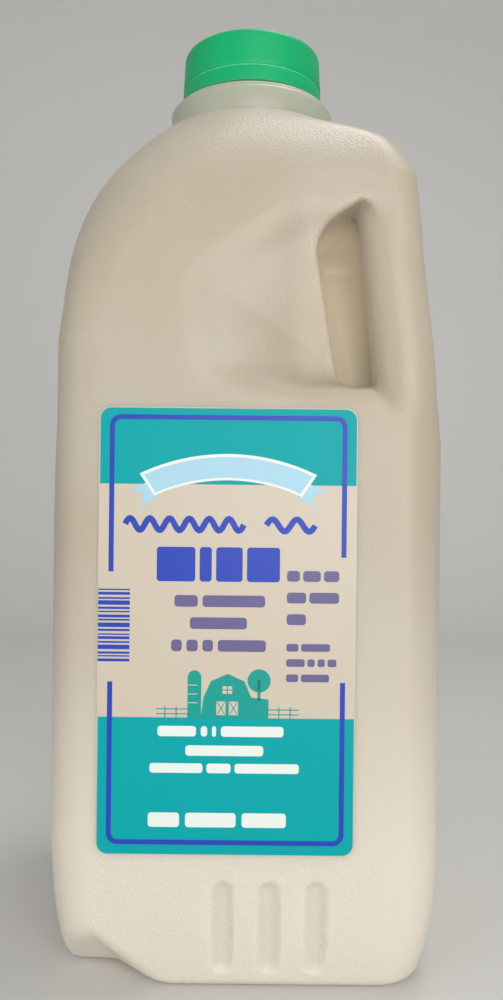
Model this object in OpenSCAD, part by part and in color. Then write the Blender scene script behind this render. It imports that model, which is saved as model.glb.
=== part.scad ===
// Half-gallon milk jug of blow-moulded plastic: a square body with a corner handle, filled and capped.
// The handle points to +X, the flat front panel faces midway between +X and -Y, and Z = 0 is the base.
// In the helper modules X runs along the front panel and Y away from it; place() turns them.

/* [Body] */
// Width of the square body across its flats
body_w = 101; // [94:0.5:122]
// Height of the straight body, up to where the shoulder starts
straight_h = 165; // [136:1:200]
// Height of the shoulder, from the straight body to the neck
shoulder_h = 69; // [57:1:84]
// Corner radius beside the front panel, away from the handle
side_corner_r = 12; // [9:0.5:15]
// Corner radius below the handle
handle_corner_r = 12; // [9:0.5:16]
// Radius of the corner that faces the handle
back_corner_r = 10.4; // [8:0.1:20]
// Thickness of the moulded wall
wall = 0.8; // [0.6:0.1:1.2]
// Height over which the walls draw in towards the base
heel_h = 32; // [22:1:40]
// How far the walls draw in at the base
heel_in = 4.5; // [3:0.5:6]
// Height of the hollow under the base
base_push = 3.5; // [2:0.5:6]

/* [Handle] */
// Radius of the hollow handle grip
grip_r = 8.2; // [7:0.1:10]
// Height of the finger gap
gap_h = 56; // [46:1:68]
// Distance from the top of the finger gap up to the neck
gap_drop = 25; // [20:1:31]
// Clear distance between grip and body at the top of the gap, measured across the front
gap_top_w = 11.5; // [9:0.5:14]
// The same distance at the bottom of the gap
gap_bottom_w = 8.5; // [7:0.5:11]
// How much the grip leans towards the neck over the height of the gap
grip_lean = 5.4; // [3:0.2:7]
// Width of the finger recess beside the gap
recess_w = 25; // [18:1:30]
// Depth of the finger recess where it meets the gap
recess_depth = 21; // [14:0.5:24]

/* [Neck and cap] */
// Radius of the wide ring at the foot of the neck
ring_r = 24.4; // [23.2:0.1:26]
// Radius of the ratchet ring under the cap
ratchet_r = 22.8; // [21.8:0.1:23.6]
// Radius of the neck inside the cap
neck_r = 18.6; // [16.5:0.1:19.2]
// Thickness of the neck wall
neck_wall = 1.6; // [1:0.1:2.2]
// Outer radius of the cap at its lower rim
cap_r = 21; // [20.5:0.1:21.6]
// Height of the cap with its tamper band
cap_h = 15.2; // [12.8:0.1:18.2]
// Height of the tamper band
band_h = 4.3; // [3.4:0.1:5.2]
// Thickness of the cap's skirt and top
cap_wall = 1.3; // [0.9:0.1:1.6]
// Number of bridges that hold the tamper band
bridges = 10; // [6:1:16]

/* [Label] */
// Width of the label
label_w = 64.4; // [50:0.5:68]
// Height of the label
label_h = 111.7; // [80:0.5:116]
// Corner radius of the label
label_r = 3; // [2:0.5:8]
// Thickness of the label film
label_t = 0.3; // [0.3:0.1:0.6]
// How far the label's middle lies from the panel's middle, away from the handle
label_shift = 4.7; // [0:0.1:8]
// Distance between the label and the finger recess above it
label_gap = 5; // [2:0.5:12]

/* [Flutes and milk] */
// Number of upright flutes at the foot of the front panel
flutes = 3; // [1:1:5]
// Width of one flute
flute_w = 5.6; // [4:0.2:8]
// Height of one flute
flute_h = 25; // [18:1:28]
// Distance between the middles of neighbouring flutes
flute_pitch = 11.7; // [9:0.1:14]
// Depth of a flute
flute_depth = 1.6; // [0.8:0.1:2.5]
// Height of the flutes' lower ends above the base
flute_z = 3.8; // [3:0.1:6]
// How far the flutes' middle lies from the panel's middle, towards the handle
flute_shift = 6.6; // [0:0.1:9]
// Height of the milk's surface above the base
fill_z = 210.5; // [150:0.1:226]

/* [Hidden] */

half_w = body_w / 2;
neck_z = straight_h + shoulder_h;
gap_top = neck_z - gap_drop;
gap_bottom = gap_top - gap_h;
label_top = gap_bottom - label_gap - 1;
clearance = 0.12;

// Neck: two stepped rings under the cap, then the plain neck that the cap closes
ring_h = 6.4;
ratchet_h = 2.8;
cap_z = neck_z + ring_h + ratchet_h;
cap_top = cap_z + cap_h;
mouth_z = cap_top - cap_wall - clearance;
neck_root_r = ring_r + 0.3;
tear_half = 0.3;
tear_depth = 0.6;
bridge_w = 0.9;

// Shoulder profile, from the straight wall to the foot of the neck
shoulder_in = [0, 3.64, 1.73, half_w - neck_root_r];
shoulder_at = [0, 0.5, 0.75, 1];
corner_steps = 5;
heel_steps = 5;
shoulder_steps = 10;
ball_fn = 16;
far = body_w;
eps = 0.01;

// Finger gap and recess: edge radii, and how far their ends lie inside the gap's height
gap_r = 5;
gap_shoulder_drop = 9;
gap_corner_drop = 17;
recess_r = 7;
recess_foot = 8;
recess_head = [14, 26, 12];
proud = 14;

// Foot hollow: its edge radius, and the corners of its inner faces as [in from the side, in from the front, height]
foot_r = 4;
foot_corners = [[18, 19.5, -8], [-13.5, 19.5, -8], [57, -19.5, -8], [11.2, -1.3, 12], [-13.5, 0.5, 12], [29.5, -19.5, 12]];

// Base hollow: how far its lower and upper rims lie inside the walls
base_rim = [13, 19];

function lerp(a, b, t) = a + (b - a) * t;
function clamp01(t) = max(0, min(1, t));
function ease(t) = clamp01(t) * clamp01(t) * (3 - 2 * clamp01(t));
function bezier(p, t) =
    p[0] * pow(1 - t, 3) + 3 * p[1] * t * pow(1 - t, 2) + 3 * p[2] * t * t * (1 - t) + p[3] * pow(t, 3);

// Half width of the walls at a height within the heel
function wall_at(z) = half_w - heel_in * pow(1 - z / heel_h, 2);

// One level of the body is [height, half width, how far it is up the shoulder]
function heel_level(i) =
    let (z = heel_h * pow(i / heel_steps, 1.6))
    [z, wall_at(z), 0];
function shoulder_level(i) =
    let (t = i / shoulder_steps)
    [straight_h + shoulder_h * bezier(shoulder_at, t), half_w - bezier(shoulder_in, t), t];
function body_levels() = concat(
    [for (i = [0 : heel_steps]) heel_level(i)],
    [[gap_bottom - 9, half_w, 0], [gap_bottom + 1, half_w, 0]],
    [for (i = [0 : shoulder_steps]) shoulder_level(i)]);

// The handle corner narrows to the grip's own radius beside the gap and widens again into the neck
function side_r(level) = lerp(side_corner_r, level[1], ease(level[2]));
function back_r(level) = lerp(back_corner_r, level[1], ease(level[2]));
function grip_corner_r(level) =
    level[2] > 0.65 ? lerp(grip_r, level[1], ease((level[2] - 0.65) / 0.35))
                   : lerp(handle_corner_r, grip_r, ease((level[0] - gap_bottom + 12) / 14));
function grip_corner_in(level) =
    let (t = clamp01((level[0] - gap_bottom + 10) / (gap_h + 12)))
    2.2 * pow(sin(180 * t), 2);

// Middle line of the grip on the body's diagonal
function grip_at(z) =
    half_w - grip_r - 1 - grip_lean * (z - gap_bottom) / gap_h;
// Edge of the gap on the body side, measured the same way
function gap_edge(z) =
    grip_at(z) - grip_r - lerp(gap_bottom_w, gap_top_w, (z - gap_bottom) / gap_h);

function arc(cx, cy, r, from) =
    [for (i = [0 : corner_steps]) [cx + r * cos(from + 90 * i / corner_steps),
                                   cy + r * sin(from + 90 * i / corner_steps)]];
function outline(level, inset) =
    let (a = level[1] - inset,
         rs = side_r(level) - inset,
         rb = back_r(level) - inset,
         rg = grip_corner_r(level) - inset,
         cg = a - rg - grip_corner_in(level))
    concat(arc(cg, -cg, rg, -90), arc(a - rs, a - rs, rs, 0),
           arc(rb - a, a - rb, rb, 90), arc(rs - a, rs - a, rs, 180));

// Solid through a stack of outlines with the same number of points, wound anticlockwise
module loft(rings) {
    count = len(rings[0]);
    top = len(rings) - 1;
    side = [for (k = [0 : top - 1]) for (i = [0 : count - 1])
        let (j = (i + 1) % count, a = k * count, b = a + count)
        each [[a + i, b + j, a + j], [a + i, b + i, b + j]]];
    polyhedron(points = [for (ring = rings) each ring],
               faces = concat([[for (i = [0 : count - 1]) i]],
                              [[for (i = [count - 1 : -1 : 0]) top * count + i]], side),
               convexity = 6);
}

module body_envelope(inset) {
    levels = body_levels();
    last = len(levels) - 1;
    loft([for (k = [0 : last])
        let (level = levels[k],
             z = k == 0 ? inset : (k == last ? level[0] - inset : max(level[0], inset + k * eps)))
        [for (p = outline(level, inset)) [p[0], p[1], z]]]);
}

module ball(x, y, z, r) {
    translate([x, y, z]) sphere(r = r, $fn = ball_fn);
}

// Room behind the grip that the fingers close in; grow widens it by a wall
module finger_gap(grow) {
    r = gap_r + grow;
    low = gap_edge(gap_bottom) + gap_r;
    high = gap_edge(gap_top) + gap_r;
    middle = grip_at(gap_top);
    floor_z = gap_bottom + gap_r;
    roof_z = gap_top - gap_r;
    hull() {
        both_halves() {
            ball(low, -low, floor_z, r);
            ball(high, -high, gap_top - gap_corner_drop, r);
            ball(low, -far, floor_z, r);
            ball(high, -far, gap_top - gap_shoulder_drop, r);
            ball(middle, -far, roof_z, r);
        }
        ball(middle, -middle, roof_z, r);
        ball(far, -far, floor_z, r);
        ball(far, -far, roof_z, r);
    }
}

// Soft recess in the front panel that leads the fingers into the gap
module finger_recess(grow) {
    r = recess_r + grow;
    low = gap_edge(gap_bottom);
    high = gap_edge(gap_top);
    foot = gap_bottom + recess_foot;
    deep = half_w - recess_depth;
    outside = half_w + proud;
    hull() {
        ball(low, -(deep + recess_r - 1), foot, r);
        ball(high, -(deep + recess_r - 3), gap_top - recess_head[0], r);
        ball(low - recess_w + 5, -(half_w + recess_r - 1), foot, r);
        ball(high - recess_w, -(half_w + recess_r - 2), gap_top - recess_head[1], r);
        ball(low, -outside, foot, r);
        ball(grip_at(gap_top), -outside, gap_top - recess_head[2], r);
        ball(grip_at(gap_bottom), -outside, foot, r);
    }
}

// Hollow grip; its ends turn inwards and run into the body
module grip(inset) {
    path = [[gap_bottom - 5, 4], [gap_bottom + 3, 0], [gap_top - 3, 0], [gap_top + 5, 4]];
    for (i = [0 : len(path) - 2]) hull() {
        for (end = [path[i], path[i + 1]]) {
            at = grip_at(end[0]) - end[1];
            ball(at, -at, end[0], grip_r - inset);
        }
    }
}

// Mirrors across the parting plane, which runs from the handle to the far corner
module both_halves() {
    children();
    mirror([1, 1, 0]) children();
}

module front_flutes(grow) {
    r = flute_w / 2 + grow;
    for (i = [0 : flutes - 1]) {
        x = flute_shift + (i - (flutes - 1) / 2) * flute_pitch;
        hull() {
            for (z = [flute_z + flute_w / 2, flute_z + flute_h - flute_w / 2])
                ball(x, -(wall_at(z) + flute_w / 2 - flute_depth), z, r);
        }
    }
}

// Hollow that sets the rounded foot of the front panel off from the corner
module foot_hollow(grow) {
    hull() {
        for (b = foot_corners) ball(b[0] - half_w, b[1] - half_w, b[2], foot_r + grow);
        for (z = [-8, 12]) ball(-half_w - proud, -half_w - proud - foot_r, z, foot_r + grow);
    }
}

module body_solid(inset) {
    difference() {
        body_envelope(inset);
        finger_gap(inset);
        both_halves() {
            finger_recess(inset);
            front_flutes(inset);
            foot_hollow(inset);
        }
        base_hollow(inset);
    }
    grip(inset);
}

module base_hollow(grow) {
    hull() {
        translate([0, 0, -eps]) cylinder(r = half_w - base_rim[0] + grow, h = eps, $fn = 40);
        translate([0, 0, base_push + grow - eps]) cylinder(r = half_w - base_rim[1] + grow, h = eps, $fn = 40);
    }
}

module place() {
    rotate([0, 0, 45]) children();
}

module jug() {
    color([0.9, 0.87, 0.8])
    place() {
        difference() {
            union() {
                body_solid(0);
                neck(0);
            }
            body_solid(wall);
            neck(wall);
        }
    }
}

// Neck with its rings; inset gives the hollow inside it, which is open at the mouth
module neck(inset) {
    foot_r = ring_r - 1 - inset;
    ring = ring_r - inset;
    ratchet = ratchet_r - inset;
    bore_r = inset > 0 ? neck_r - neck_wall : neck_r;
    ratchet_z = cap_z - ratchet_h;
    rotate_extrude($fn = 40) polygon([
        [0, neck_z - 3], [foot_r, neck_z - 3], [foot_r, neck_z],
        [ring - 0.5, neck_z + 0.4], [ring, neck_z + 1.2],
        [ring, ratchet_z - 0.8 - inset], [ring - 0.8, ratchet_z - inset],
        [ratchet, ratchet_z + 0.3 - inset], [ratchet, cap_z - 0.9 - inset],
        [ratchet - 0.7, cap_z - clearance - inset], [bore_r, cap_z - clearance - inset],
        [bore_r, mouth_z + inset], [0, mouth_z + inset]]);
}

module cap() {
    inner_r = neck_r + clearance;
    draft = 0.6;
    edge = 2;
    tear_z = cap_z + band_h;
    color([0.03, 0.63, 0.4]) {
        rotate_extrude($fn = 96) polygon(concat(
            [[inner_r, cap_z], [cap_r, cap_z], [cap_r, tear_z - tear_half],
             [cap_r - tear_depth, tear_z], [cap_r - 0.15, tear_z + tear_half]],
            [for (i = [0 : 6])
                [cap_r - draft - edge + edge * cos(15 * i), cap_top - edge + edge * sin(15 * i)]],
            [[0, cap_top], [0, cap_top - cap_wall], [inner_r, cap_top - cap_wall]]));
        for (i = [0 : bridges - 1]) rotate([0, 0, 360 * (i + 0.5) / bridges])
            translate([cap_r - 1.1, -bridge_w / 2, tear_z - 0.6]) cube([0.9, bridge_w, 1.2]);
    }
}

module label() {
    x = -label_shift;
    color([0.05, 0.6, 0.56])
    place()
    translate([x, -half_w, label_top - label_h / 2]) rotate([90, 0, 0])
    linear_extrude(height = label_t) hull() {
        for (sx = [-1, 1]) for (sy = [-1, 1])
            translate([sx * (label_w / 2 - label_r), sy * (label_h / 2 - label_r)]) circle(r = label_r, $fn = 32);
    }
}

module milk() {
    color([0.97, 0.95, 0.88])
    place()
    intersection() {
        body_solid(wall + clearance);
        translate([-far, -far, 0]) cube([2 * far, 2 * far, fill_z]);
    }
}

jug();
cap();
label();
milk();
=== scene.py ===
"""Looks for the milk jug: a smooth moulded skin, a cap with its tear line, a printed label and the milk.

Sizes are in millimetres in the jug's own directions: p runs to the right along the front panel,
q comes out of it and z goes up. placed() turns them into the row frame, in metres.
"""

import math

import bpy
import numpy as np
from mathutils import Matrix, Vector


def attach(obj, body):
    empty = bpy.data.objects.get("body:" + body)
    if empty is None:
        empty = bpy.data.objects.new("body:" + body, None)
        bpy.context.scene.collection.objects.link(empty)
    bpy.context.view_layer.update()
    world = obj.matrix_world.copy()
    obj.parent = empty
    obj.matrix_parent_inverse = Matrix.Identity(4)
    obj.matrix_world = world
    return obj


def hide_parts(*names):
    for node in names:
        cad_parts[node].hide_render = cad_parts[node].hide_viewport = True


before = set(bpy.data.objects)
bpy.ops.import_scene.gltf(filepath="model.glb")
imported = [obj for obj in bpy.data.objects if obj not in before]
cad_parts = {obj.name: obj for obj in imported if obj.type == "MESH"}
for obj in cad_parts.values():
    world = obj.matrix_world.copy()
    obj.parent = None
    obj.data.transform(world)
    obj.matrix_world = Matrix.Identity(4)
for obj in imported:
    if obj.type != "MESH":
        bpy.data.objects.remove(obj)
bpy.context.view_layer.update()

ROOT_HALF = math.sqrt(0.5)

# ---------------------------------------------------------------- sizes, the same as the CAD model's
HALF_W = 50.5
STRAIGHT_H = 165.0
NECK_Z = 234.0
HEEL_H = 32.0
HEEL_IN = 4.5
GAP_TOP = 209.0
GAP_BOTTOM = 153.0
GRIP_R = 8.2
CAP_Z = 243.2
CAP_TOP = 258.4
CAP_R = 21.0
TEAR_Z = 247.5
BRIDGES = 10
FILL_Z = 210.5
LABEL_P = -4.7
LABEL_Z = 91.15
LABEL_W = 64.4
LABEL_H = 111.7

# ---------------------------------------------------------------- sizes of the looks alone
SIDE_R, BACK_R, BESIDE_R = 12.5, 10.8, 12.0
NECK_ROOT_R = 24.7
GRIP_SWITCH = 0.73
TRIM_Z = [139, 149, 166, 195, 209]
TRIM_H = [50.5, 49.5, 48.2, 45.3, 44.1]
GAP_R, RECESS_R, FOOT_R = 5.0, 7.0, 4.0
GAP_ROOF = 205.0
MILK_INSET = 0.7
FILM_BACK, FILM_FRONT = 50.4, 50.66
TURN_STEPS = 240


def placed(pts):
    """Points [p, q, z] in millimetres as [X, Y, Z] in metres."""
    pts = np.asarray(pts, float)
    x = (pts[:, 0] + pts[:, 1]) * ROOT_HALF
    y = (pts[:, 0] - pts[:, 1]) * ROOT_HALF
    return np.stack([x, y, pts[:, 2]], 1) * 0.001


# ---------------------------------------------------------------- distance functions
def smooth_min(a, b, k):
    h = np.maximum(k - np.abs(a - b), 0) / k
    return np.minimum(a, b) - h * h * k * 0.25


def smooth_max(a, b, k):
    return -smooth_min(-a, -b, k)


def ease(t):
    t = np.clip(t, 0, 1)
    return t * t * (3 - 2 * t)


def bezier(c, t):
    return c[0] * (1 - t) ** 3 + 3 * c[1] * t * (1 - t) ** 2 + 3 * c[2] * t * t * (1 - t) + c[3] * t**3


def profile():
    """Height, half width and corner radii (side, back, handle) of the body, as tables."""
    t = np.linspace(0, 1, 120)
    sz = STRAIGHT_H + (NECK_Z - STRAIGHT_H) * bezier([0, 0.5, 0.75, 1], t)
    sh = HALF_W - bezier([0, 3.64, 1.73, HALF_W - NECK_ROOT_R], t)
    straight = np.linspace(HEEL_H + 1, STRAIGHT_H - 1, 60)
    z = np.concatenate([np.linspace(-6, HEEL_H, 40), straight, sz])
    low = np.clip(z[:100], 0, HEEL_H)
    h = np.concatenate([HALF_W - HEEL_IN * (1 - low / HEEL_H) ** 2, sh])
    up = np.concatenate([np.zeros(100), t])
    side = SIDE_R + (h - SIDE_R) * ease(up)
    back = BACK_R + (h - BACK_R) * ease(up)
    beside = BESIDE_R + (GRIP_R - BESIDE_R) * ease((z - GAP_BOTTOM + 12) / 14)
    above = GRIP_R + (h - GRIP_R) * ease((up - GRIP_SWITCH) / (1 - GRIP_SWITCH))
    grip = np.where(up > GRIP_SWITCH, above, beside)
    return z, h, side, back, grip


TABLE = profile()


def grip_at(z):
    return HALF_W - GRIP_R - 1 - 5.4 * (z - GAP_BOTTOM) / 56


def gap_edge(z):
    return 23.4 - 5.8 * (z - GAP_BOTTOM) / 56


def envelope(p, q, z):
    """Square body with round corners, its heel and its shoulder."""
    tz, th, ts, tb, tg = TABLE
    h = np.interp(z, tz, th)
    slope = (np.interp(z + 0.5, tz, th) - np.interp(z - 0.5, tz, th)).clip(-3, 3)
    side, back, grip = (np.interp(z, tz, t) for t in (ts, tb, tg))
    r = np.where((p > 0) & (q > 0), grip, np.where((p < 0) & (q < 0), back, side))
    trim = np.interp(z, TRIM_Z, TRIM_H)
    over = np.maximum(h - trim, 0) * (z > 100)
    # The two walls away from the handle draw in a little below the shoulder and at the heel
    slim = 0.6 * ease((z - 120) / 35) * ease((192 - z) / 22) + 0.45 * ease((38 - z) / 12)
    a = np.abs(p) - h + slim * (p < 0) + r + over * ease((q - 4) / 14) * (p > 0)
    b = np.abs(q) - h + slim * (q < 0) + r + over * ease((p - 4) / 14) * (q > 0)
    d = np.minimum(np.maximum(a, b), 0) + np.hypot(np.maximum(a, 0), np.maximum(b, 0)) - r
    d = d / np.sqrt(1 + slope * slope)
    d = smooth_max(d, -z, 2.4)
    return smooth_max(d, z - NECK_Z, 2.0)


def hull_of(points):
    """Outward planes and triangles of the convex hull of a few points."""
    pts = np.array(points, float)
    planes, faces, count = [], [], len(pts)
    for i in range(count):
        for j in range(i + 1, count):
            for k in range(j + 1, count):
                n = np.cross(pts[j] - pts[i], pts[k] - pts[i])
                if np.linalg.norm(n) < 1e-6:
                    continue
                n = n / np.linalg.norm(n)
                off = (pts - pts[i]) @ n
                if off.max() < 1e-6:
                    planes.append((n, n @ pts[i]))
                    faces.append((i, j, k))
                elif off.min() > -1e-6:
                    planes.append((-n, -n @ pts[i]))
                    faces.append((i, j, k))
    return pts, planes, faces


def triangle_distance(x, a, b, c):
    """Squared distance from points x to the triangle a, b, c."""
    best = None
    n = np.cross(b - a, c - a)
    inside = np.ones(len(x), bool)
    for s, e in ((a, b), (b, c), (c, a)):
        d = e - s
        w = x - s
        t = np.clip(w @ d / (d @ d), 0, 1)
        near = ((w - t[:, None] * d) ** 2).sum(1)
        best = near if best is None else np.minimum(best, near)
        inside &= w @ np.cross(n, d) > 0
    flat = ((x - a) @ n) ** 2 / (n @ n)
    return np.where(inside, flat, best)


def ball_hull(hull, radius, p, q, z, margin=12.0):
    """Distance to the hull of equal balls, worked out near it only."""
    pts, planes, faces = hull
    out = np.full(p.shape, 1e3)
    lo, hi = pts.min(0) - radius - margin, pts.max(0) + radius + margin
    near = (p > lo[0]) & (p < hi[0]) & (q > lo[1]) & (q < hi[1]) & (z > lo[2]) & (z < hi[2])
    x = np.stack([p[near], q[near], z[near]], 1)
    if not len(x):
        return out
    inner = np.max([x @ n - o for n, o in planes], 0)
    outer = np.sqrt(np.min([triangle_distance(x, *pts[list(f)]) for f in faces], 0))
    out[near] = np.where(inner < 0, inner, outer) - radius
    return out


def round_cone(a, b, ra, rb, p, q, z):
    """Distance to the hull of two balls."""
    x = np.stack([p, q, z], -1) - np.array(a)
    d = np.array(b, float) - np.array(a)
    length = np.linalg.norm(d)
    d = d / length
    y = x @ d
    r = np.sqrt(np.maximum((x**2).sum(-1) - y * y, 0))
    s = (ra - rb) / length
    c = math.sqrt(1 - s * s)
    k = y * c - r * s
    out = r * c + y * s - ra
    out = np.where(k < 0, np.hypot(r, y) - ra, out)
    return np.where(k > c * length, np.hypot(r, y - length) - rb, out)


def gap_hull():
    low, high, mid = gap_edge(GAP_BOTTOM) + GAP_R, gap_edge(GAP_TOP) + GAP_R, grip_at(GAP_TOP)
    floor, roof, out = GAP_BOTTOM + GAP_R, GAP_TOP - 9, 80.0
    pts = [(low, low, floor), (high, high, GAP_TOP - 20), (mid, mid, roof)]
    pts += [(out, out, floor), (out, out, roof)]
    rim = [(low, out, floor), (high, out, GAP_TOP - 21), (high + 1, out, GAP_TOP - 15)]
    rim += [(high + 4, out, GAP_TOP - 10.5), (mid, out, roof)]
    for a, b, z in rim:
        pts += [(a, b, z), (b, a, z)]
    return hull_of(pts)


def recess_hull():
    return hull_of([
        (22.5, 44, 161), (17.5, 50, 190), (-3, 56.8, 161), (-6, 56.5, 178),
        (22, 64, 161), (36, 64, 195), (42, 64, 161),
    ])


GAP = gap_hull()
RECESS = recess_hull()


def grip(p, q, z):
    """Hollow grip along a soft curve whose ends run into the body."""
    best = np.full(p.shape, 1e3)
    near = (p > 10) & (q > 10) & (z > 122) & (z < 232)
    x = np.stack([p[near], q[near], z[near]], 1)
    keys = [
        (GAP_BOTTOM - 15, 5.6), (GAP_BOTTOM - 8, 1.9), (GAP_BOTTOM, 0.6), (GAP_BOTTOM + 10, 0.3),
        (GAP_TOP - 14, 0.4), (GAP_TOP - 6, 1.2), (GAP_TOP + 1, 3.0), (GAP_TOP + 7, 6.0),
    ]
    line = np.array([[grip_at(k) - inward, grip_at(k) - inward, k] for k, inward in keys])
    found = np.full(len(x), 1e6)
    for a, b in zip(line[:-1], line[1:]):
        d = b - a
        w = x - a
        t = np.clip(w @ d / (d @ d), 0, 1)
        found = np.minimum(found, ((w - t[:, None] * d) ** 2).sum(1))
    best[near] = np.sqrt(found) - GRIP_R
    return best


def flutes(p, q, z):
    best = np.full(p.shape, 1e3)
    near = (q > 40) & (z < 40) & (np.abs(p) < 34)
    x, y, h = p[near], q[near], z[near]
    found = np.full(x.shape, 1e3)
    for i in range(3):
        mid = 6.6 + (i - 1) * 11.7
        ends = []
        for lift in (3.8 + 2.8, 3.8 + 25 - 2.8):
            wall = HALF_W - HEEL_IN * max(0.0, 1 - lift / HEEL_H) ** 2
            ends.append((mid, wall + 2.8 - 1.6, lift))
        found = np.minimum(found, round_cone(ends[0], ends[1], 2.8, 2.8, x, y, h))
    best[near] = found
    return best


FOOT = hull_of([
    (-32.5, 31, -8), (-64, 31, -8), (6.5, 70, -8), (-64, 70, -8),
    (-39.3, 51.8, 12), (-64, 50, 12), (-21, 70, 12), (-64, 70, 12),
])


def foot_hollow(p, q, z):
    """Cut-back corner beside the rounded foot of the panel."""
    return ball_hull(FOOT, FOOT_R, p, q, z)


def base_hollow(p, q, z):
    r = np.hypot(p, q)
    return np.maximum((r - 37.5 + z * 1.7) / 1.97, z - 3.5)


def hollowed(p, q, z):
    """The body with its finger recesses and gap, foot hollows and base hollow, without the grip."""
    d = envelope(p, q, z)
    for a, b in ((p, q), (q, p)):
        d = smooth_max(d, -ball_hull(RECESS, RECESS_R, a, b, z), 7.0)
        d = smooth_max(d, -foot_hollow(a, b, z), 2.0)
    # The gap's roof falls towards the grip, where its edge turns soft
    inward = np.minimum(p, q)
    roof = (z - GAP_ROOF + 1.5 * np.maximum(inward - 28, 0)) / 1.8
    soft = 1.4 + 7 * ease((inward - 30) / 7)
    d = smooth_max(d, -smooth_max(ball_hull(GAP, GAP_R, p, q, z), roof, 4.0), soft)
    return smooth_max(d, -base_hollow(p, q, z), 2.0)


def body(p, q, z):
    """Signed distance to the moulded skin, negative inside."""
    d = hollowed(p, q, z)
    for a, b in ((p, q), (q, p)):
        d = smooth_max(d, -flutes(a, b, z), 0.9)
    return smooth_min(d, grip(p, q, z), 2.0)


def milk_body(p, q, z):
    """The milk reaches just into the wall, up to its level."""
    return np.maximum(body(p, q, z) + MILK_INSET, z - FILL_Z)


def surface(field, lo, hi, step, rounds=3):
    """Points, quads and normals of the field's zero level: surface nets, moved onto the level."""
    axes = [np.arange(a, b + step, step) for a, b in zip(lo, hi)]
    shape = [len(a) for a in axes]
    f = np.empty(shape)
    for k in range(0, shape[2], 16):
        p, q, z = np.meshgrid(axes[0], axes[1], axes[2][k : k + 16], indexing="ij")
        f[:, :, k : k + 16] = field(p.ravel(), q.ravel(), z.ravel()).reshape(p.shape)
    s = f < 0
    nx, ny, nz = (n - 1 for n in shape)
    corners = [(i, j, k) for i in (0, 1) for j in (0, 1) for k in (0, 1)]
    count = sum(s[i : nx + i, j : ny + j, k : nz + k].astype(np.int8) for i, j, k in corners)
    cells = np.argwhere((count > 0) & (count < 8))
    index = np.full((nx, ny, nz), -1)
    index[tuple(cells.T)] = np.arange(len(cells))
    total, hits = np.zeros((len(cells), 3)), np.zeros(len(cells))
    for a in corners:
        for axis in range(3):
            if a[axis]:
                continue
            b = tuple(v + (m == axis) for m, v in enumerate(a))
            fa = f[tuple((cells + a).T)]
            fb = f[tuple((cells + b).T)]
            cross = (fa < 0) != (fb < 0)
            t = np.where(cross, fa / np.where(cross, fa - fb, 1), 0)
            point = np.array(a, float) + np.zeros((len(cells), 3))
            point[:, axis] = t
            total[cross] += point[cross]
            hits += cross
    pts = np.array([a[0] for a in axes]) + (cells + total / hits[:, None]) * step
    quads = []
    for axis in range(3):
        u, v = (axis + 1) % 3, (axis + 2) % 3
        one = [slice(None)] * 3
        two = [slice(None)] * 3
        one[axis], two[axis] = slice(0, -1), slice(1, None)
        cross = s[tuple(one)] != s[tuple(two)]
        for side in (u, v):
            edge = [slice(None)] * 3
            edge[side] = 0
            cross[tuple(edge)] = False
            edge[side] = -1
            cross[tuple(edge)] = False
        at = np.argwhere(cross)
        ring = []
        for du, dv in ((-1, -1), (0, -1), (0, 0), (-1, 0)):
            cell = at.copy()
            cell[:, u] += du
            cell[:, v] += dv
            ring.append(index[tuple(cell.T)])
        ring = np.stack(ring, 1)
        flip = s[tuple(at.T)]
        ring[flip] = ring[flip][:, ::-1]
        quads.append(ring)
    quads = np.concatenate(quads)

    def slope(x):
        h = 0.05
        g = np.empty_like(x)
        for m in range(3):
            e = np.zeros(3)
            e[m] = h
            g[:, m] = (field(*(x + e).T) - field(*(x - e).T)) / (2 * h)
        return g

    for _ in range(rounds):
        g = slope(pts)
        move = field(*pts.T)[:, None] * g / np.maximum((g * g).sum(1), 0.25)[:, None]
        size = np.linalg.norm(move, axis=1)
        pts = pts - move * np.minimum(1, 0.6 * step / np.maximum(size, 1e-9))[:, None]
    g = slope(pts)
    return pts, quads, g / np.maximum(np.linalg.norm(g, axis=1), 1e-9)[:, None]


# ---------------------------------------------------------------- meshes
def mesh_object(name, verts, faces, material, smooth=True, normals=None):
    mesh = bpy.data.meshes.new(name)
    mesh.from_pydata([tuple(v) for v in verts], [], [tuple(int(i) for i in f) for f in faces])
    mesh.polygons.foreach_set("use_smooth", [smooth] * len(mesh.polygons))
    mesh.update()
    if normals is not None:
        mesh.normals_split_custom_set_from_vertices([tuple(n) for n in normals])
    obj = bpy.data.objects.new(name, mesh)
    bpy.context.scene.collection.objects.link(obj)
    for m in material if isinstance(material, (list, tuple)) else [material]:
        mesh.materials.append(m)
    return obj


def skin_object(name, field, lo, hi, step, material):
    pts, quads, normals = surface(field, lo, hi, step)
    turned = placed(normals * 1000)
    return mesh_object(name, placed(pts), quads, material, normals=turned)


def revolved(name, rings, material, steps=TURN_STEPS):
    """Closed solid of revolution; each ring is (radius or function of the angle, height)."""
    angle = np.arange(steps) * 2 * math.pi / steps
    verts, faces = [], []
    for radius, z in rings:
        r = radius(angle) if callable(radius) else np.full(steps, float(radius))
        verts.append(np.stack([r * np.cos(angle), r * np.sin(angle), np.full(steps, z)], 1) * 0.001)
    n = len(rings)
    for k in range(n - 1):
        for i in range(steps):
            j = (i + 1) % steps
            faces.append((k * steps + i, k * steps + j, (k + 1) * steps + j, (k + 1) * steps + i))
    faces.append(tuple(range(steps - 1, -1, -1)))
    faces.append(tuple((n - 1) * steps + i for i in range(steps)))
    return mesh_object(name, np.concatenate(verts), faces, material)


# ---------------------------------------------------------------- materials
def linear(r, g, b):
    """Screen colour 0-255 as linear light, with alpha."""
    levels = [c / 255 / 12.92 if c <= 10 else ((c / 255 + 0.055) / 1.055) ** 2.4 for c in (r, g, b)]
    return tuple(levels) + (1.0,)


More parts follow.
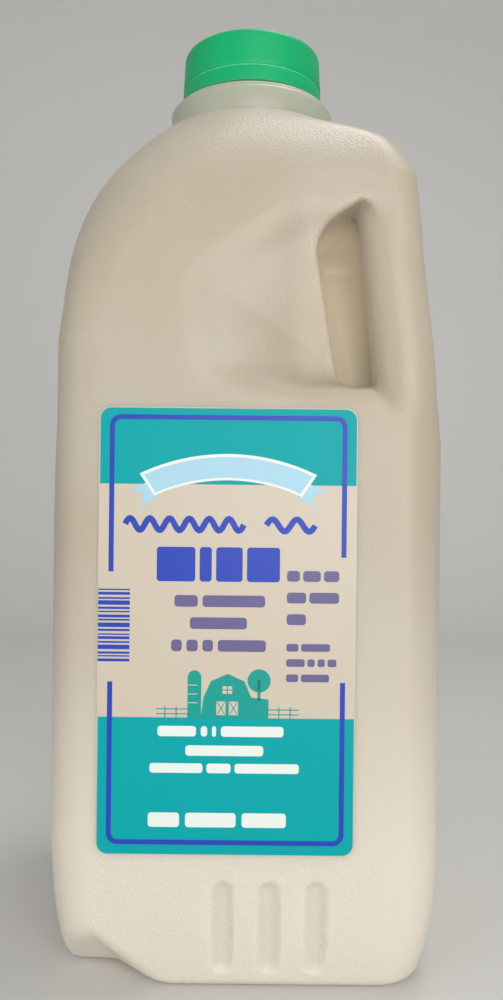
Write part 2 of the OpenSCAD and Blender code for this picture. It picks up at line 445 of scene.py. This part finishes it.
class Nodes:
    """Short way to write a node tree."""

    def __init__(self, name):
        self.material = bpy.data.materials.new(name)
        self.material.use_nodes = True
        self.tree = self.material.node_tree
        self.shader = self.tree.nodes["Principled BSDF"]

    def add(self, kind, inputs=None, **settings):
        node = self.tree.nodes.new(kind)
        for key, value in settings.items():
            setattr(node, key, value)
        for key, value in (inputs or {}).items():
            self.set(node.inputs[key], value)
        return node

    def set(self, socket, value):
        if isinstance(value, bpy.types.NodeSocket):
            self.tree.links.new(value, socket)
        else:
            socket.default_value = value

    def math(self, operation, a, b=0.0):
        return self.add("ShaderNodeMath", {0: a, 1: b}, operation=operation).outputs[0]

    def span(self, value, low, high, to_low=0.0, to_high=1.0):
        ends = {"From Min": low, "From Max": high, "To Min": to_low, "To Max": to_high}
        node = self.add("ShaderNodeMapRange", {"Value": value, **ends}, interpolation_type="SMOOTHSTEP")
        return node.outputs["Result"]

    def mix(self, factor, a, b):
        node = self.add("ShaderNodeMix", data_type="RGBA")
        self.set(node.inputs["Factor"], factor)
        self.set(node.inputs[6], a)
        self.set(node.inputs[7], b)
        return node.outputs[2]

    def bump(self, height, strength, distance, **more):
        inputs = {"Height": height, "Strength": strength, "Distance": distance, **more}
        return self.add("ShaderNodeBump", inputs).outputs["Normal"]

    def finish(self, **values):
        for key, value in values.items():
            self.set(self.shader.inputs[key.replace("_", " ")], value)
        return self.material


def jug_material():
    n = Nodes("jug_plastic")
    place = n.add("ShaderNodeTexCoord").outputs["Object"]
    height = n.add("ShaderNodeSeparateXYZ", {0: place}).outputs["Z"]
    cloud = n.add("ShaderNodeTexNoise", {"Vector": place, "Scale": 18.0, "Detail": 2.0}).outputs["Fac"]
    # Painted light: the skin is lighter towards the foot and darker through the middle and shoulder as
    # painted shade, over a random mottle of two cream tones
    mottle_and_painted_shade = n.mix(n.span(cloud, 0.35, 0.65), linear(184, 174, 158), linear(180, 169, 150))
    low = n.mix(n.span(height, 0.01, 0.12), linear(219, 211, 197), mottle_and_painted_shade)
    empty = n.mix(n.span(height, 0.2325, 0.2345), low, linear(176, 180, 162))
    pebble = n.add("ShaderNodeTexNoise", {"Vector": place, "Scale": 1500.0, "Detail": 1.0}).outputs["Fac"]
    ripple = n.add("ShaderNodeTexNoise", {"Vector": place, "Scale": 130.0, "Detail": 2.0}).outputs["Fac"]
    foot = n.span(height, 0.028, 0.04, 1.0, 0.0)
    shoulder = n.span(height, 0.185, 0.205)
    upper = n.math("ADD", n.math("MULTIPLY", shoulder, 0.15), 0.16)
    rough = n.math("ADD", n.math("MULTIPLY", foot, 0.3), upper)
    fine = n.bump(pebble, rough, 0.0006)
    wave = n.bump(ripple, 0.12, 0.0006, Normal=fine)
    # Painted light: an emission inside the finger gap brightens its walls, which lie in shade
    axes = n.add("ShaderNodeSeparateXYZ", {0: place}).outputs
    aside = n.math("ABSOLUTE", axes["Y"])
    inner = n.span(axes["X"], 0.034, 0.046, 1.0, 0.0)
    within = n.math("MULTIPLY", inner, n.span(aside, 0.014, 0.024, 1.0, 0.0))
    tall = n.math("MULTIPLY", n.span(height, 0.150, 0.156), n.span(height, 0.200, 0.208, 1.0, 0.0))
    painted_gap_light = n.math("MULTIPLY", n.math("MULTIPLY", within, tall), 0.3)
    return n.finish(
        Base_Color=empty, Roughness=0.38, Normal=wave, Specular_IOR_Level=0.5,
        Emission_Color=linear(204, 184, 150), Emission_Strength=painted_gap_light,
        Subsurface_Weight=0.6, Subsurface_Radius=(1.0, 0.82, 0.62), Subsurface_Scale=0.009,
    )


def plain_material(name, colour, roughness, bump=0.0, scale=400.0, **values):
    n = Nodes(name)
    if bump:
        place = n.add("ShaderNodeTexCoord").outputs["Object"]
        grain = n.add("ShaderNodeTexNoise", {"Vector": place, "Scale": scale, "Detail": 1.0}).outputs["Fac"]
        values["Normal"] = n.bump(grain, bump, 0.0004)
    return n.finish(Base_Color=linear(*colour), Roughness=roughness, **values)


PLASTIC = jug_material()
NECK_PLASTIC = plain_material(
    "neck_plastic", (168, 171, 152), 0.34, bump=0.1, scale=500.0,
    Subsurface_Weight=0.5, Subsurface_Radius=(1.0, 1.0, 0.8), Subsurface_Scale=0.005,
)
CAP_GREEN = plain_material("cap_plastic", (0, 166, 102), 0.42, bump=0.12, scale=900.0, Specular_IOR_Level=0.3)
# Painted highlight: a lighter green for the tear groove and the cap's lower edge
CAP_PAINTED_HIGHLIGHT = plain_material("cap_painted_highlight", (84, 200, 152), 0.4)
MILK_WHITE = plain_material("milk", (246, 242, 232), 0.3)
FILM_PALE = plain_material("film_pale", (196, 185, 168), 0.3, bump=0.06, scale=90.0, Specular_IOR_Level=0.3)
FILM_TEAL = plain_material("film_teal", (0, 156, 160), 0.36, bump=0.06, scale=90.0, Specular_IOR_Level=0.12)


def ink(name, colour):
    return plain_material(name, colour, 0.3, Specular_IOR_Level=0.25)


INK_BLUE = ink("ink_blue", (34, 62, 172))
INK_SKY = ink("ink_sky", (160, 200, 218))
INK_WHITE = ink("ink_white", (220, 228, 222))
INK_TEAL = ink("ink_teal", (4, 148, 138))
INK_LINE = ink("ink_line", (98, 92, 136))

# ---------------------------------------------------------------- jug and milk
step = 1.2
jug = skin_object("jug_skin", body, (-54, -54, -3), (54, 54, 238), step, PLASTIC)
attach(jug, "root")
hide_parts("jug")

milk = skin_object("milk_fill", milk_body, (-54, -54, -3), (54, 54, 214), step * 1.35, MILK_WHITE)
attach(milk, "root")
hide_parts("milk")


# Neck: two stepped rings, then the plain neck that the cap closes
neck_rings = [
    (16.0, 231.6), (24.0, 232.6), (24.35, 233.6), (24.4, 234.4), (24.4, 239.7), (24.1, 240.3),
    (23.5, 240.5), (22.9, 240.7), (22.75, 241.1), (22.7, 241.6), (22.3, 242.0), (18.9, 242.1),
    (18.6, 242.4), (18.6, 256.6), (18.3, 256.95), (17.2, 256.95), (17.0, 256.6), (17.0, 246.0),
]
neck = revolved("jug_neck", neck_rings, NECK_PLASTIC)
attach(neck, "root")


# ---------------------------------------------------------------- cap
def tear_groove(angle):
    """Radius of the tear line's bottom, which the bridges interrupt."""
    turn = (angle * BRIDGES / (2 * math.pi) - 0.5) % 1.0
    off = np.minimum(turn, 1 - turn) * 2 * math.pi / BRIDGES * CAP_R
    return CAP_R - 0.1 - 0.22 * ease((off - 0.3) / 0.35)


cap_rings = [
    (18.8, 257.1), (18.8, CAP_Z + 0.3), (19.1, CAP_Z), (20.6, CAP_Z), (20.94, CAP_Z + 0.12),
    (21.0, CAP_Z + 0.45), (20.93, CAP_Z + 0.9), (20.9, TEAR_Z - 0.55), (20.82, TEAR_Z - 0.3),
    (lambda a: tear_groove(a) - 0.1, TEAR_Z - 0.12), (lambda a: tear_groove(a) - 0.1, TEAR_Z + 0.12),
    (20.74, TEAR_Z + 0.3), (20.84, TEAR_Z + 0.6),
]
for k in range(1, 7):
    cap_rings.append((20.84 - 0.44 * k / 6, TEAR_Z + 0.6 + (CAP_TOP - 2 - TEAR_Z - 0.6) * k / 6))
for a in range(10, 91, 10):
    turn = math.radians(a)
    cap_rings.append((18.4 + 2 * math.cos(turn), CAP_TOP - 2 + 2 * math.sin(turn)))
cap_rings += [(12.0, CAP_TOP), (4.0, CAP_TOP)]
cap = revolved("cap_shell", cap_rings, [CAP_GREEN, CAP_PAINTED_HIGHLIGHT])
# The tear groove and the cap's lower edge take the lighter green as a painted highlight
for k, ring in enumerate(cap_rings[:-1]):
    if ring[1] in (CAP_Z, TEAR_Z - 0.12):
        for polygon in cap.data.polygons[k * TURN_STEPS : (k + 1) * TURN_STEPS]:
            polygon.material_index = 1
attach(cap, "root")
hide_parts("cap")


# ---------------------------------------------------------------- label
INKS = [FILM_PALE, FILM_TEAL, INK_BLUE, INK_SKY, INK_WHITE, INK_TEAL, INK_LINE]
PALE, TEAL, BLUE, SKY, WHITE, BARN, LINE = range(7)


def arc_points(cx, cy, r, a0, a1, count):
    turns = [math.radians(a0 + (a1 - a0) * i / count) for i in range(count + 1)]
    return [(cx + r * math.cos(turn), cy + r * math.sin(turn)) for turn in turns]


class Print:
    """Flat shapes on the label, in millimetres from its middle; each layer lies a little further out."""

    def __init__(self):
        self.verts, self.faces, self.inks = [], [], []

    def shape(self, points, ink, layer):
        start = len(self.verts)
        area = sum(a[0] * b[1] - b[0] * a[1] for a, b in zip(points, points[1:] + points[:1]))
        ordered = points if area > 0 else points[::-1]
        self.verts += [(LABEL_P + a, FILM_FRONT + 0.015 * layer, LABEL_Z + b) for a, b in ordered]
        self.faces.append(tuple(range(start, len(self.verts))))
        self.inks.append(ink)

    def strip(self, left, right, ink, layer):
        for a, b, c, d in zip(left, right, right[1:], left[1:]):
            self.shape([a, b, c, d], ink, layer)

    def stroke(self, points, width, ink, layer):
        pts = np.array(points, float)
        t = np.gradient(pts, axis=0)
        t /= np.maximum(np.linalg.norm(t, axis=1), 1e-9)[:, None]
        side = np.stack([-t[:, 1], t[:, 0]], 1) * width / 2
        self.strip([tuple(v) for v in pts + side], [tuple(v) for v in pts - side], ink, layer)

    def bar(self, x0, x1, y0, y1, r, ink, layer):
        r = min(r, (x1 - x0) / 2, (y1 - y0) / 2)
        pts = []
        middles = ((x1 - r, y1 - r), (x0 + r, y1 - r), (x0 + r, y0 + r), (x1 - r, y0 + r))
        for k, (cx, cy) in enumerate(middles):
            pts += arc_points(cx, cy, r, 90 * k, 90 * k + 90, 6)
        self.shape(pts, ink, layer)

    def words(self, x0, y0, height, widths, ink, layer, gap=1.2):
        """A line of blank rounded bars, one for each word."""
        for w in widths:
            self.bar(x0, x0 + w, y0, y0 + height, min(0.8, height * 0.3), ink, layer)
            x0 += w + gap


art = Print()
W, H = LABEL_W / 2, LABEL_H / 2
R = 3.0
# Teal fields at the head and the foot, inside a thin pale edge
edge = 0.25
head = [(-W + edge, 36.6), (W - edge, 36.6)]
head += arc_points(W - R, H - R, R - edge, 0, 90, 8) + arc_points(-W + R, H - R, R - edge, 90, 180, 8)
art.shape(head, TEAL, 1)
foot = [(W - edge, -21.5), (-W + edge, -21.5)]
foot += arc_points(-W + R, -H + R, R - edge, 180, 270, 8) + arc_points(W - R, -H + R, R - edge, 270, 360, 8)
art.shape(foot, TEAL, 1)
# Blue frame line in two open halves
fx, fy, fr = 29.0, 53.3, 2.2
head = arc_points(-fx + fr, fy - fr, fr, 180, 90, 8) + arc_points(fx - fr, fy - fr, fr, 90, 0, 8)
art.stroke([(-fx, 14.7), (-fx, 34), *head, (fx, 34), (fx, 18.7)], 1.25, BLUE, 3)
foot = arc_points(-fx + fr, -52.6 + fr, fr, 180, 270, 8) + arc_points(fx - fr, -52.6 + fr, fr, 270, 360, 8)
art.stroke([(-fx, -12.7), (-fx, -34), *foot, (fx, -34), (fx, -12.5)], 1.25, BLUE, 3)
# Blank ribbon with swallow tails
cy = -6.5
for s in (-1, 1):
    tail = ((17.2, 36.6), (19.6, 37.4), (24.5, 35.0), (21.0, 34.3), (21.7, 30.9), (17.6, 33.4))
    art.shape([(s * x, y) for x, y in tail], SKY, 4)
pale = arc_points(0, cy, 50.75, 64.2, 115.8, 40)
art.strip(pale, arc_points(0, cy, 44.2, 65.4, 114.6, 40), WHITE, 5)
art.strip(arc_points(0, cy, 50.0, 65.1, 114.9, 40), arc_points(0, cy, 44.8, 66.3, 113.7, 40), SKY, 6)
# Plain wave, a bold line and three plain lines
for x0, x1 in ((-25.6, 4.0), (9.6, 21.8)):
    reach = x1 - x0
    waves = round(reach / 5.2)
    wave = [(x0 + reach * i / 96, 26.6 + 1.5 * math.sin(2 * math.pi * waves * i / 96)) for i in range(97)]
    art.stroke(wave, 1.5, BLUE, 3)
art.words(-17.6, 12.4, 8.6, [9.6, 3.0, 6.6, 8.2], BLUE, 3, gap=1.1)
art.words(-13.1, 6.1, 2.9, [5.8, 15.6], LINE, 3)
art.words(-9.2, 0.6, 2.9, [14.2], LINE, 3)
art.words(-13.8, -5.0, 2.9, [2.6, 2.8, 2.6, 12.0], LINE, 3)
# Small lines at the right
art.words(14.9, 12.6, 2.7, [3.2, 4.4, 3.8], LINE, 3, gap=0.8)
art.words(14.9, 7.2, 2.7, [4.8, 7.4], LINE, 3, gap=0.8)
art.words(14.9, 1.8, 2.7, [4.8], LINE, 3)
art.words(14.9, -4.8, 1.9, [3.0, 7.2], LINE, 3, gap=0.7)
art.words(14.9, -8.6, 1.9, [4.6, 1.8, 1.8, 2.2], LINE, 3, gap=0.7)
art.words(14.9, -12.4, 1.9, [3.0, 7.0], LINE, 3, gap=0.7)
# Stripe block at the left
y = 10.4
for k in range(17):
    thick = (0.35, 0.7, 0.45, 1.1, 0.55)[k % 5]
    art.bar(-32.1, -24.2, y - thick, y, 0.02, BLUE, 3)
    y -= thick + (0.45, 0.6, 0.35, 0.5)[k % 4]
# Plain farm scene: silo, barn, tree and fence
ground = -21.6
dome = arc_points(-7.9, -11.4, 1.7, 0, 180, 8)
art.shape([(-9.6, ground), (-6.2, ground), (-6.2, -11.4), *dome, (-9.6, -11.4)], BARN, 3)
barn = [(-6.3, ground), (10.6, ground), (10.6, -16.8), (6.3, -16.4)]
barn += [(4.6, -12.4), (0.4, -10.5), (-3.8, -12.4), (-5.6, -16.4)]
art.shape(barn, BARN, 3)
for x in (-2.4, 0.7):
    art.bar(x, x + 2.3, -20.8, -17.4, 0.1, PALE, 5)
    art.stroke([(x + 0.2, -20.6), (x + 2.1, -17.6)], 0.22, BARN, 6)
    art.stroke([(x + 2.1, -20.6), (x + 0.2, -17.6)], 0.22, BARN, 6)
art.bar(-0.9, 1.5, -15.5, -13.6, 0.1, PALE, 5)
art.stroke([(0.3, -15.5), (0.3, -13.6)], 0.25, BARN, 6)
art.stroke([(-0.9, -14.55), (1.5, -14.55)], 0.25, BARN, 6)
for y in (-13.4, -15.6, -17.8):
    art.stroke([(-9.4, y), (-7.2, y)], 0.22, PALE, 5)
art.shape(arc_points(8.2, -12.2, 2.9, 0, 350, 24), BARN, 3)
art.bar(7.8, 8.6, -17.2, -12.0, 0.1, BARN, 3)
for x0, x1, posts in ((-17.4, -9.4, (-15.2, -12.4)), (10.6, 18.2, (13.2, 16.0))):
    for y in (-19.4, -20.6):
        art.stroke([(x0, y), (x1, y)], 0.25, BARN, 3)
    for x in posts:
        art.stroke([(x, -21.5), (x, -18.7)], 0.25, BARN, 3)
# Blank pale lines on the lower field
art.words(-17.0, -26.2, 2.6, [9.6, 1.6, 1.0, 15.6], WHITE, 3)
art.words(-10.0, -31.0, 2.6, [19.4], WHITE, 3)
art.words(-18.9, -35.3, 2.4, [13.2, 6.0, 16.0], WHITE, 3, gap=1.0)
art.words(-19.2, -48.8, 3.6, [7.8, 12.6, 11.0], WHITE, 3, gap=1.5)

# The film itself: a thin plate with rounded corners
outline = arc_points(W - R, H - R, R, 0, 90, 8) + arc_points(-W + R, H - R, R, 90, 180, 8)
outline += arc_points(-W + R, -H + R, R, 180, 270, 8) + arc_points(W - R, -H + R, R, 270, 360, 8)
count = len(outline)
film_verts = [(LABEL_P + a, q, LABEL_Z + b) for q in (FILM_BACK, FILM_FRONT) for a, b in outline]
film_faces = [tuple(range(count - 1, -1, -1)), tuple(range(count, 2 * count))]
film_faces += [(i, (i + 1) % count, count + (i + 1) % count, count + i) for i in range(count)]
label = mesh_object("label_film", placed(film_verts), film_faces, FILM_PALE, smooth=False)
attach(label, "root")
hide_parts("label")
prints = mesh_object("label_print", placed(art.verts), art.faces, INKS, smooth=False)
for polygon, ink in zip(prints.data.polygons, art.inks):
    polygon.material_index = ink
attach(prints, "root")

# ---------------------------------------------------------------- floor, backdrop, light
pale_floor = plain_material("stage_floor", (214, 212, 208), 0.6)
verts = []
line = [(1200.0, 0.0), (-500.0, 0.0)]
for a in range(10, 91, 10):
    turn = math.radians(a)
    line.append((-500 - 300 * math.sin(turn), 300 - 300 * math.cos(turn)))
line += [(-800.0, 1800.0)]
for side in (-2000.0, 2000.0):
    verts += [(side, q, z) for q, z in line]
n = len(line)
faces = [(i, i + 1, n + i + 1, n + i) for i in range(n - 1)]
floor = mesh_object("stage_sweep", placed(verts), faces, pale_floor)


def lamp(name, at, size, power, colour=(1.0, 1.0, 1.0), aim=(0, 0, 130)):
    data = bpy.data.lights.new(name, "AREA")
    data.shape = "SQUARE"
    data.size = size * 0.001
    data.energy = power
    data.color = colour
    obj = bpy.data.objects.new(name, data)
    start, end = (Vector(v) for v in placed([at, aim]))
    obj.location = start
    obj.rotation_euler = (end - start).to_track_quat("-Z", "Y").to_euler()
    bpy.context.scene.collection.objects.link(obj)


lamp("front", (260, 980, 330), 900, 7.4, (1.0, 0.99, 0.97), aim=(0, 0, 120))
lamp("left", (-640, 520, 240), 600, 1.2, (1.0, 0.99, 0.97))
lamp("low", (160, 620, 60), 360, 0.7, (1.0, 0.99, 0.97), aim=(10, 0, 110))
lamp("over", (150, -60, 760), 260, 1.3)

world = bpy.data.worlds.new("studio")
world.use_nodes = True
world.node_tree.nodes["Background"].inputs[0].default_value = (0.95, 0.97, 1.0, 1.0)
world.node_tree.nodes["Background"].inputs[1].default_value = 0.42
bpy.context.scene.world = world
bpy.context.scene.view_settings.view_transform = "Standard"

# ---------------------------------------------------------------- camera
roll = math.radians(0.6)
eye = Vector(placed([(1.13, 270.4, 124.0)])[0])
right = Vector((ROOT_HALF, ROOT_HALF, 0))
up = Vector((0, 0, 1))
back = Vector((ROOT_HALF, -ROOT_HALF, 0))
cam_x = right * math.cos(roll) + up * math.sin(roll)
cam_y = up * math.cos(roll) - right * math.sin(roll)
camera = bpy.data.objects.new("camera", bpy.data.cameras.new("camera"))
camera.data.sensor_width = 36.0
camera.data.lens = 31.75
camera.data.clip_start = 0.01
turn = Matrix((cam_x, cam_y, back)).transposed().to_4x4()
camera.matrix_world = Matrix.Translation(eye) @ turn
bpy.context.scene.collection.objects.link(camera)
bpy.context.scene.camera = camera
